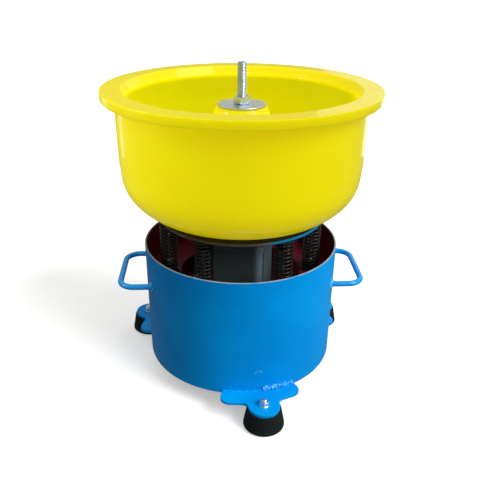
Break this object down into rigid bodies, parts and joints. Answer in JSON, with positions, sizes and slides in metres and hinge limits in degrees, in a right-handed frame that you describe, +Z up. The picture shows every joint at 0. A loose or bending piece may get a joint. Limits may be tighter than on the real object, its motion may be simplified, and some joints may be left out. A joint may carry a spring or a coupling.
{
  "type": "vibratory rock tumbler",
  "caption": "Vibratory tumbler: an open bowl with a centre cone, clamped to a spring-hung plate over a steel drum that holds the motor.",
  "frame": {"origin": "on the floor plane at the centre of the machine's footprint box", "axes": "+Z up along the rod, -Y towards the front foot, +X towards the right-hand handle"},
  "size_m": [0.3936, 0.4071, 0.4881],
  "materials": {
    "polyurethane": "gloss",
    "blue_paint": "semi-gloss",
    "red_primer": "satin",
    "dark_paint": "semi-gloss",
    "zinc": "satin",
    "spring_steel": "gloss",
    "motor_paint": "satin",
    "copper": "satin",
    "bright_steel": "satin",
    "cast_iron": "matte",
    "rubber": "matte",
    "black_plastic": "matte"
  },
  "bodies": {
    "base": {"base_drum": "blue_paint", "spring_shelf": "red_primer", "foot_lug_front": "blue_paint", "rubber_foot_front": "rubber", "foot_stud_front": "zinc", "foot_nut_front": "zinc", "foot_lug_right": "blue_paint", "rubber_foot_right": "rubber", "foot_stud_right": "zinc", "foot_nut_right": "zinc", "foot_lug_left": "blue_paint", "rubber_foot_left": "rubber", "foot_stud_left": "zinc", "foot_nut_left": "zinc", "carry_handle_right": "blue_paint", "carry_handle_left": "blue_paint", "cable_gland": "black_plastic", "gland_locknut": "black_plastic", "run_capacitor": "black_plastic", "capacitor_clip": "zinc", "spring_1": "spring_steel", "spring_2": "spring_steel", "spring_3": "spring_steel", "spring_4": "spring_steel", "spring_5": "spring_steel", "spring_6": "spring_steel", "lower_seat_1": "dark_paint", "lower_seat_2": "dark_paint", "lower_seat_3": "dark_paint", "lower_seat_4": "dark_paint", "lower_seat_5": "dark_paint", "lower_seat_6": "dark_paint"},
    "head": {"carrier_plate": "dark_paint", "centre_rod": "zinc", "rod_boss": "dark_paint", "upper_seat_1": "dark_paint", "upper_seat_2": "dark_paint", "upper_seat_3": "dark_paint", "upper_seat_4": "dark_paint", "upper_seat_5": "dark_paint", "upper_seat_6": "dark_paint", "motor_housing": "motor_paint", "motor_upper_shield": "motor_paint", "motor_lower_shield": "motor_paint", "stator": "copper", "upper_bearing": "bright_steel", "lower_bearing": "bright_steel", "motor_stud_1": "zinc", "motor_stud_2": "zinc", "motor_stud_3": "zinc", "motor_stud_4": "zinc"},
    "rotor": {"motor_shaft": "bright_steel", "rotor_core": "cast_iron", "upper_weight": "cast_iron", "upper_weight_screw": "zinc"},
    "lower_eccentric": {"lower_weight": "cast_iron", "lower_weight_screw": "zinc"},
    "bowl": {"tumbling_bowl": "polyurethane"},
    "washer": {"clamp_washer": "zinc"},
    "nut": {"clamp_nut": "zinc"}
  },
  "joints": [
    {"name": "suspension_bounce", "type": "slide", "parent": "base", "child": "head", "axis": [0, 0, 1], "range_m": [-0.015, 0.008], "stiffness_N_per_m": 13000, "springref_m": 0.0087, "deforming": ["spring_1", "spring_2", "spring_3", "spring_4", "spring_5", "spring_6"]},
    {"name": "rotor_spin", "type": "hinge", "parent": "head", "child": "rotor", "pos_m": [0, 0.00676, 0.18], "axis": [0, 0, 1], "continuous": true},
    {"name": "lower_weight_phase", "type": "hinge", "parent": "rotor", "child": "lower_eccentric", "pos_m": [0, 0.00676, 0.11], "axis": [0, 0, 1], "range_deg": [-90, 90]},
    {"name": "bowl_lift", "type": "slide", "parent": "head", "child": "bowl", "axis": [0, 0, 1], "range_m": [0, 0.225]},
    {"name": "clamp_washer_lift", "type": "slide", "parent": "bowl", "child": "washer", "axis": [0, 0, 1], "range_m": [0, 0.042]},
    {"name": "clamp_nut_turn", "type": "hinge", "parent": "washer", "child": "nut", "pos_m": [0, 0.00676, 0.438], "axis": [0, 0, 1], "range_deg": [0, 7560]}
  ],
  "couplings": [
    {"joint": "clamp_nut_turn", "follows": "clamp_washer_lift", "rad_per_m": 3141.6}
  ]
}
